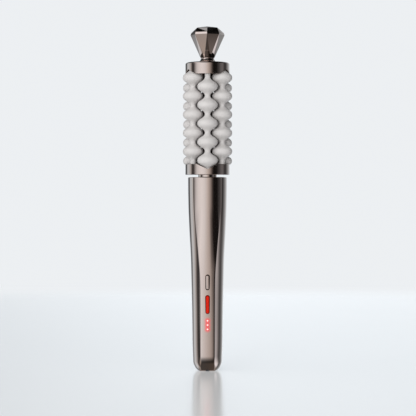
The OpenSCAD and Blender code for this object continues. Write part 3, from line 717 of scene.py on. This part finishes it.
# Flared collar: turned and plated, with a hollow curve from a wide foot on the cap's top to
# a fine lip under the knob. The tie rod through it pulls the knob down on it.
collar_foot, collar_rim, collar_lip, knob_z = 8.0, 0.25, 4.25, 199.7
flare_width, flare_height = collar_foot - collar_lip, knob_z - cap_top - collar_rim
finished(
    turned(
        "flared_collar",
        [(rod_bore, cap_top), (collar_foot, cap_top)]
        + [
            (collar_foot - flare_width * math.sin(t), cap_top + collar_rim + flare_height * (1 - math.cos(t)))
            for t in (math.pi / 2 * k / 20 for k in range(21))
        ]
        + [(rod_bore, knob_z)],
    ),
    body_plating,
    "head",
    ["knob_collar"],
)

# Knob: a cast and plated gem shape. Eight long triangles run down from the girdle to a small
# foot turned half a side, and a flat crown sits above a narrow steep band.
knob = bmesh.new()
knob_foot, girdle, crown_foot = 4.75, 10.95, 10.46
girdle_z, knob_top = 214.4, 219.6
crown_corner, crown_side, knob_turn, knob_edge = (0.82, 0.9), (0.585, 0.2), -1.7, 0.11
for radius, z, turn in ((knob_foot, knob_z, 22.5), (girdle, girdle_z, 0), (crown_foot, girdle_z + 1.4, 0)):
    ring = bmesh.ops.create_circle(knob, cap_ends=False, segments=8, radius=radius * mm)["verts"]
    bmesh.ops.rotate(knob, verts=ring, matrix=Matrix.Rotation(math.radians(turn), 3, "Z"))
    bmesh.ops.translate(knob, verts=ring, vec=(0, 0, z * mm))
crown = bmesh.ops.create_circle(knob, cap_ends=False, segments=8, radius=1)["verts"]
for v in crown:
    near_corner = min(abs(v.co.x), abs(v.co.y)) > 0.1
    share, drop = crown_corner if near_corner else crown_side
    v.co = (v.co.x * share * girdle * mm, v.co.y * share * girdle * mm, (knob_top - drop) * mm)
knob.verts.new((0, 0, knob_top * mm))
bmesh.ops.delete(knob, geom=list(knob.edges), context="EDGES_FACES")
bmesh.ops.convex_hull(knob, input=knob.verts)
bmesh.ops.dissolve_limit(knob, angle_limit=math.radians(1), verts=knob.verts, edges=knob.edges)
bmesh.ops.rotate(knob, verts=knob.verts, matrix=Matrix.Rotation(math.radians(knob_turn), 3, "Z"))
bmesh.ops.recalc_face_normals(knob, faces=knob.faces)
bmesh.ops.bevel(
    knob,
    geom=list(knob.edges),
    offset=knob_edge * mm,
    offset_type="OFFSET",
    segments=2,
    affect="EDGES",
    profile=0.5,
    material=-1,
)
finished(as_object(knob, "gem_knob"), body_plating, "head", ["knob"], 12)

# Foot plug, socket and everything inside: the turned, moulded and bought-in pieces keep
# their construction shapes. Each gets its real finish: steel, brass, nylon, laminate, wire,
# except that the foot plug's dark grey is partly painted shade.
steel = grained("bright_steel", (0.58, 0.585, 0.6), 0.25, 1.0, scale=1500, mottle=0.1, relief=0.05)
inside = {
    # The foot plug is moulded plastic. Its dark grey is partly painted shade: it stands in for the floor's shadow seen
    # through the nail notch.
    grained("grey_abs_painted_shade", (0.12, 0.122, 0.126), 0.5, 0.0, scale=1500, mottle=0.1, relief=0.1): ["base_cap"],
    steel: "charging_socket board_screws cell_tabs motor motor_plate gearbox_screws collar_screws drive_shaft "
    "hub_clip hub_screws tie_rod roller_axles".split(),
    grained("turned_brass", (0.7, 0.52, 0.22), 0.28, 1.0, scale=1500, mottle=0.1, relief=0.05): [
        "gearbox",
        "roller_washers",
    ],
    grained("white_acetal", (0.84, 0.81, 0.74), 0.45, 0.0, scale=1200, mottle=0.05, relief=0.04): [
        "head_bush",
        "power_plunger",
        "mode_plunger",
        *(f"liner_{k}" for k in range(1, 7)),
    ],
    grained("black_nylon", (0.02, 0.02, 0.021), 0.5, 0.0, scale=1800, mottle=0.2, relief=0.15): [
        "inner_frame",
        "power_switch",
        "mode_switch",
        "top_collar",
    ],
    grained("green_laminate", (0.02, 0.13, 0.05), 0.35, 0.0, scale=1200, mottle=0.25, relief=0.1): [
        "charging_board",
        "circuit_board",
    ],
    grained("blue_sleeve", (0.015, 0.09, 0.36), 0.3, 0.0, scale=800, mottle=0.12, relief=0.04): ["battery"],
    grained("led_phosphor", (0.9, 0.82, 0.5), 0.3, 0.0, scale=1500, mottle=0.1): ["indicator_leds"],
    grained("red_wire", (0.45, 0.02, 0.015), 0.45, 0.0, scale=1500, mottle=0.12, relief=0.05): ["motor_leads"],
}
for material, names in inside.items():
    for name in names:
        nodes[name].data.materials.clear()
        nodes[name].data.materials.append(material)

# Floor: a smooth lacquered pale table top that mirrors the wand softly and takes its
# shadow. Far out it fades into the colour of the backdrop.
floor_radius, fade_start, fade_end = 1.1, 0.75, 1.05
plain = (0.845, 0.868, 0.89, 1)
floor_bm = bmesh.new()
bmesh.ops.create_circle(floor_bm, cap_ends=True, segments=96, radius=floor_radius)
bmesh.ops.translate(floor_bm, verts=floor_bm.verts, vec=(0, 0, -0.02 * mm))
floor = as_object(floor_bm, "table_top")
floor_finish = grained(
    "table_top", (0.94, 0.94, 0.94), 0.19, 0.0, scale=60, mottle=0.004, gloss_spread=0.01, relief=0.0
)
tree = floor_finish.node_tree
tree.nodes["Principled BSDF"].inputs["Emission Color"].default_value = (0.95, 0.98, 1.0, 1)
tree.nodes["Principled BSDF"].inputs["Emission Strength"].default_value = 0.15
fade_place = tree.nodes.new("ShaderNodeTexCoord")
fade_reach = tree.nodes.new("ShaderNodeVectorMath")
fade_reach.operation = "LENGTH"
fade = tree.nodes.new("ShaderNodeMapRange")
fade.interpolation_type = "SMOOTHSTEP"
fade.inputs["From Min"].default_value = fade_start
fade.inputs["From Max"].default_value = fade_end
clear = tree.nodes.new("ShaderNodeEmission")
clear.inputs["Color"].default_value = plain
blend = tree.nodes.new("ShaderNodeMixShader")
tree.links.new(fade_place.outputs["Object"], fade_reach.inputs[0])
tree.links.new(fade_reach.outputs["Value"], fade.inputs["Value"])
tree.links.new(fade.outputs["Result"], blend.inputs[0])
tree.links.new(tree.nodes["Principled BSDF"].outputs[0], blend.inputs[1])
tree.links.new(clear.outputs[0], blend.inputs[2])
tree.links.new(blend.outputs[0], tree.nodes["Material Output"].inputs["Surface"])
floor.data.materials.append(floor_finish)
floor.visible_glossy = False

# Studio: the camera sees a plain pale backdrop, and the plating mirrors a room of light and
# dark bands, one set for each height. The soft light on the rollers comes from the front
# left and dies away towards the back right.
world = bpy.data.worlds.new("studio")
bpy.context.scene.world = world
world.use_nodes = True
new, link = world.node_tree.nodes.new, world.node_tree.links.new
background = world.node_tree.nodes["Background"]
look = new("ShaderNodeTexCoord")
parts = new("ShaderNodeSeparateXYZ")
link(look.outputs["Generated"], parts.inputs[0])
ahead = new("ShaderNodeMath")
ahead.operation = "MULTIPLY"
ahead.inputs[1].default_value = -1
link(parts.outputs["Y"], ahead.inputs[0])
turn = new("ShaderNodeMath")
turn.operation = "ARCTAN2"
link(parts.outputs["X"], turn.inputs[0])
link(ahead.outputs[0], turn.inputs[1])
round_share = new("ShaderNodeMapRange")
round_share.inputs["From Min"].default_value = -math.pi
round_share.inputs["From Max"].default_value = math.pi
link(turn.outputs[0], round_share.inputs["Value"])


def round_ramp(colours):
    """Colours round the room, from straight behind over the left to straight behind again."""
    ramp = new("ShaderNodeValToRGB")
    link(round_share.outputs["Result"], ramp.inputs["Fac"])
    points = ramp.color_ramp.elements
    points[0].position, points[1].position = 0, 1
    for angle, _ in colours[1:-1]:
        points.new((angle + 180) / 360)
    for point, (_, colour) in zip(points, colours):
        point.color = (*colour, 1)
    return ramp.outputs["Color"]


def band(stops, warmth=1.0):
    """Stops of (angle, brightness), or with a third value the warmth of that stop alone."""
    colours = []
    for angle, level, *own in stops:
        warm = own[0] if own else warmth
        colours.append((angle, (level * warm, level, level / warm)))
    return round_ramp(colours)


def by_height(low, high, start, end):
    """Mixes from one band to the next as the look rises from start to end, in degrees."""
    rise = new("ShaderNodeMapRange")
    rise.interpolation_type = "SMOOTHSTEP"
    rise.inputs["From Min"].default_value = math.sin(math.radians(start))
    rise.inputs["From Max"].default_value = math.sin(math.radians(end))
    link(parts.outputs["Z"], rise.inputs["Value"])
    mix = new("ShaderNodeMix")
    mix.data_type = "RGBA"
    link(rise.outputs["Result"], mix.inputs["Factor"])
    link(low, mix.inputs["A"])
    link(high, mix.inputs["B"])
    return mix.outputs["Result"]


under = band(
    [(-180, 0.5), (-138, 0.45), (-120, 0.2), (-100, 0.3), (-84, 0.42), (-66, 0.12), (-52, 0.08), (0, 0.07)]
    + [(54, 0.09), (70, 0.3), (84, 0.35), (118, 0.2), (140, 0.4), (180, 0.5)],
    1.08,
)
steep = band(
    [(-180, 0.55), (-150, 0.3), (-139, 0.3), (-123, 0.82), (-106, 0.88), (-96, 0.7), (-90, 0.2), (-81, 0.05)]
    + [(-66, 0.3, 1.14), (-52, 0.46, 1.14), (-41, 0.38, 1.14), (-29, 0.12), (-19, 0.05), (-8, 0.03), (2, 0.02)]
    + [(22, 0.01), (38, 0.15, 1.03), (48, 0.18, 1.03), (55, 0.75)]
    + [(62, 1.1), (86, 1.2), (96, 1.0), (104, 0.35), (113, 0.14), (123, 0.16), (135, 0.42), (160, 0.55)]
    + [(180, 0.55)],
    0.98,
)
low = band(
    [(-180, 0.95), (-165, 0.8), (-149, 0.36), (-139, 0.38), (-131, 0.55), (-123, 0.87), (-112, 0.76), (-101, 0.57)]
    + [(-93, 0.32), (-87, 0.14), (-78, 0.05), (-70, 0.03), (-60, 0.18), (-50, 0.4), (-40, 0.85), (-28, 1.05)]
    + [(-14, 0.92), (0, 0.64), (8, 0.48), (14, 0.17), (24, 0.01), (51, 0.01), (58, 0.48), (68, 0.58), (78, 0.52)]
    + [(90, 0.24), (102, 0.09), (116, 0.14), (125, 0.25), (138, 0.42), (160, 1.05), (180, 0.95)]
)
level = band(
    [(-180, 0.95), (-152, 0.12), (-138, 0.1), (-130, 0.62), (-121, 0.79), (-102, 0.62), (-96, 0.46), (-90, 0.14)]
    + [(-85, 0.05), (-77, 0.05), (-70, 0.24), (-62, 0.6), (-54, 0.83), (-44, 0.95), (-30, 1.02), (-17, 0.94)]
    + [(-4, 0.76), (4, 0.57), (12, 0.38), (18, 0.21), (24, 0.06), (31, 0.007), (48, 0.01), (64, 0.08), (74, 0.16)]
    + [(86, 0.18), (98, 0.06), (108, 0.05), (119, 0.2), (136, 0.5), (155, 0.88), (180, 0.95)]
)
high = band(
    [(-180, 0.02), (-165, 0.03), (-150, 0.06), (-133, 0.03), (-92, 0.05), (-82, 0.7), (-72, 1.15), (-47, 1.15)]
    + [(-36, 0.4), (-14, 0.08), (4, 0.05), (20, 0.02), (48, 0.006), (108, 0.01), (128, 0.12), (141, 0.4)]
    + [(158, 0.4), (170, 0.04), (180, 0.02)]
)
gap = band(
    [(-180, 0.35), (-155, 0.04), (-96, 0.004), (-32, 0.004), (-20, 0.16), (-4, 0.16), (10, 0.004), (88, 0.004)]
    + [(155, 0.04), (180, 0.35)]
)
zenith = band([(-180, 0.3), (-165, 0.55), (-120, 0.5), (-60, 0.1), (0, 0.01), (172, 0.01), (180, 0.3)])
room = by_height(under, steep, -40, -30)
room = by_height(room, low, -35, -8)
room = by_height(room, level, -6, -2)
room = by_height(room, high, 17, 28)
room = by_height(room, gap, 42, 46)
room = by_height(room, zenith, 65, 71)
tint = round_ramp(
    [(-180, (0.92, 1.0, 1.07)), (-112, (0.92, 1.0, 1.06)), (-88, (1.08, 1.0, 0.97)), (-60, (1.0, 1.0, 1.03))]
    + [(-12, (1.01, 1.0, 1.02)), (4, (1.1, 1.0, 0.95)), (25, (1.18, 1.0, 0.93)), (44, (1.1, 1.0, 0.97))]
    + [(56, (1.0, 0.985, 1.03)), (100, (1.0, 0.985, 1.02)), (120, (0.93, 1.0, 1.05)), (180, (0.92, 1.0, 1.07))]
)
tinted = new("ShaderNodeMix")
tinted.data_type, tinted.blend_type = "RGBA", "MULTIPLY"
tinted.inputs["Factor"].default_value = 1.0
link(room, tinted.inputs["A"])
link(tint, tinted.inputs["B"])
side_light = new("ShaderNodeMix")
side_light.data_type = "RGBA"
to_side = new("ShaderNodeVectorMath")
to_side.operation = "DOT_PRODUCT"
to_side.inputs[1].default_value = (0.5, 0.86, -0.12)
link(look.outputs["Generated"], to_side.inputs[0])
side_share = new("ShaderNodeMapRange")
side_share.interpolation_type = "SMOOTHSTEP"
side_share.inputs["From Min"].default_value = -0.9
side_share.inputs["From Max"].default_value = 0.42
link(to_side.outputs["Value"], side_share.inputs["Value"])
link(side_share.outputs["Result"], side_light.inputs["Factor"])
side_light.inputs["A"].default_value = (0.97, 0.975, 0.98, 1)
side_light.inputs["B"].default_value = (0.0, 0.0, 0.0, 1)
rays = new("ShaderNodeLightPath")
shown = new("ShaderNodeMix")
shown.data_type = "RGBA"
link(rays.outputs["Is Camera Ray"], shown.inputs["Factor"])
link(side_light.outputs["Result"], shown.inputs["A"])
shown.inputs["B"].default_value = plain
pick = new("ShaderNodeMix")
pick.data_type = "RGBA"
link(rays.outputs["Is Glossy Ray"], pick.inputs["Factor"])
link(shown.outputs["Result"], pick.inputs["A"])
link(tinted.outputs["Result"], pick.inputs["B"])
link(pick.outputs["Result"], background.inputs["Color"])
background.inputs["Strength"].default_value = 1.0

# Key light: a large soft lamp, nearly level with the head, at the front left. It shapes the
# pale rollers, whose right sides fall off into soft shade.
wand_middle = Vector((0, 0, 0.12))
lamp_size, lamp_power = 1.2, 26.0


def soft_lamp(name, place):
    """A round lamp aimed at the wand, which lights it but isn't mirrored by it."""
    light = bpy.data.lights.new(name, "AREA")
    light.shape, light.size, light.energy = "DISK", lamp_size, lamp_power
    lamp = bpy.data.objects.new(name, light)
    lamp.location = place
    lamp.rotation_euler = (wand_middle - Vector(place)).to_track_quat("-Z", "Y").to_euler()
    lamp.visible_glossy = False
    bpy.context.scene.collection.objects.link(lamp)


soft_lamp("soft_key", (-0.8, -2.5, 0.4))

# Back lamp: the same soft disc behind the wand and a little higher, so that the back of the
# rollers is as well lit as their front.
soft_lamp("soft_back", (0.1, 2.6, 0.7))
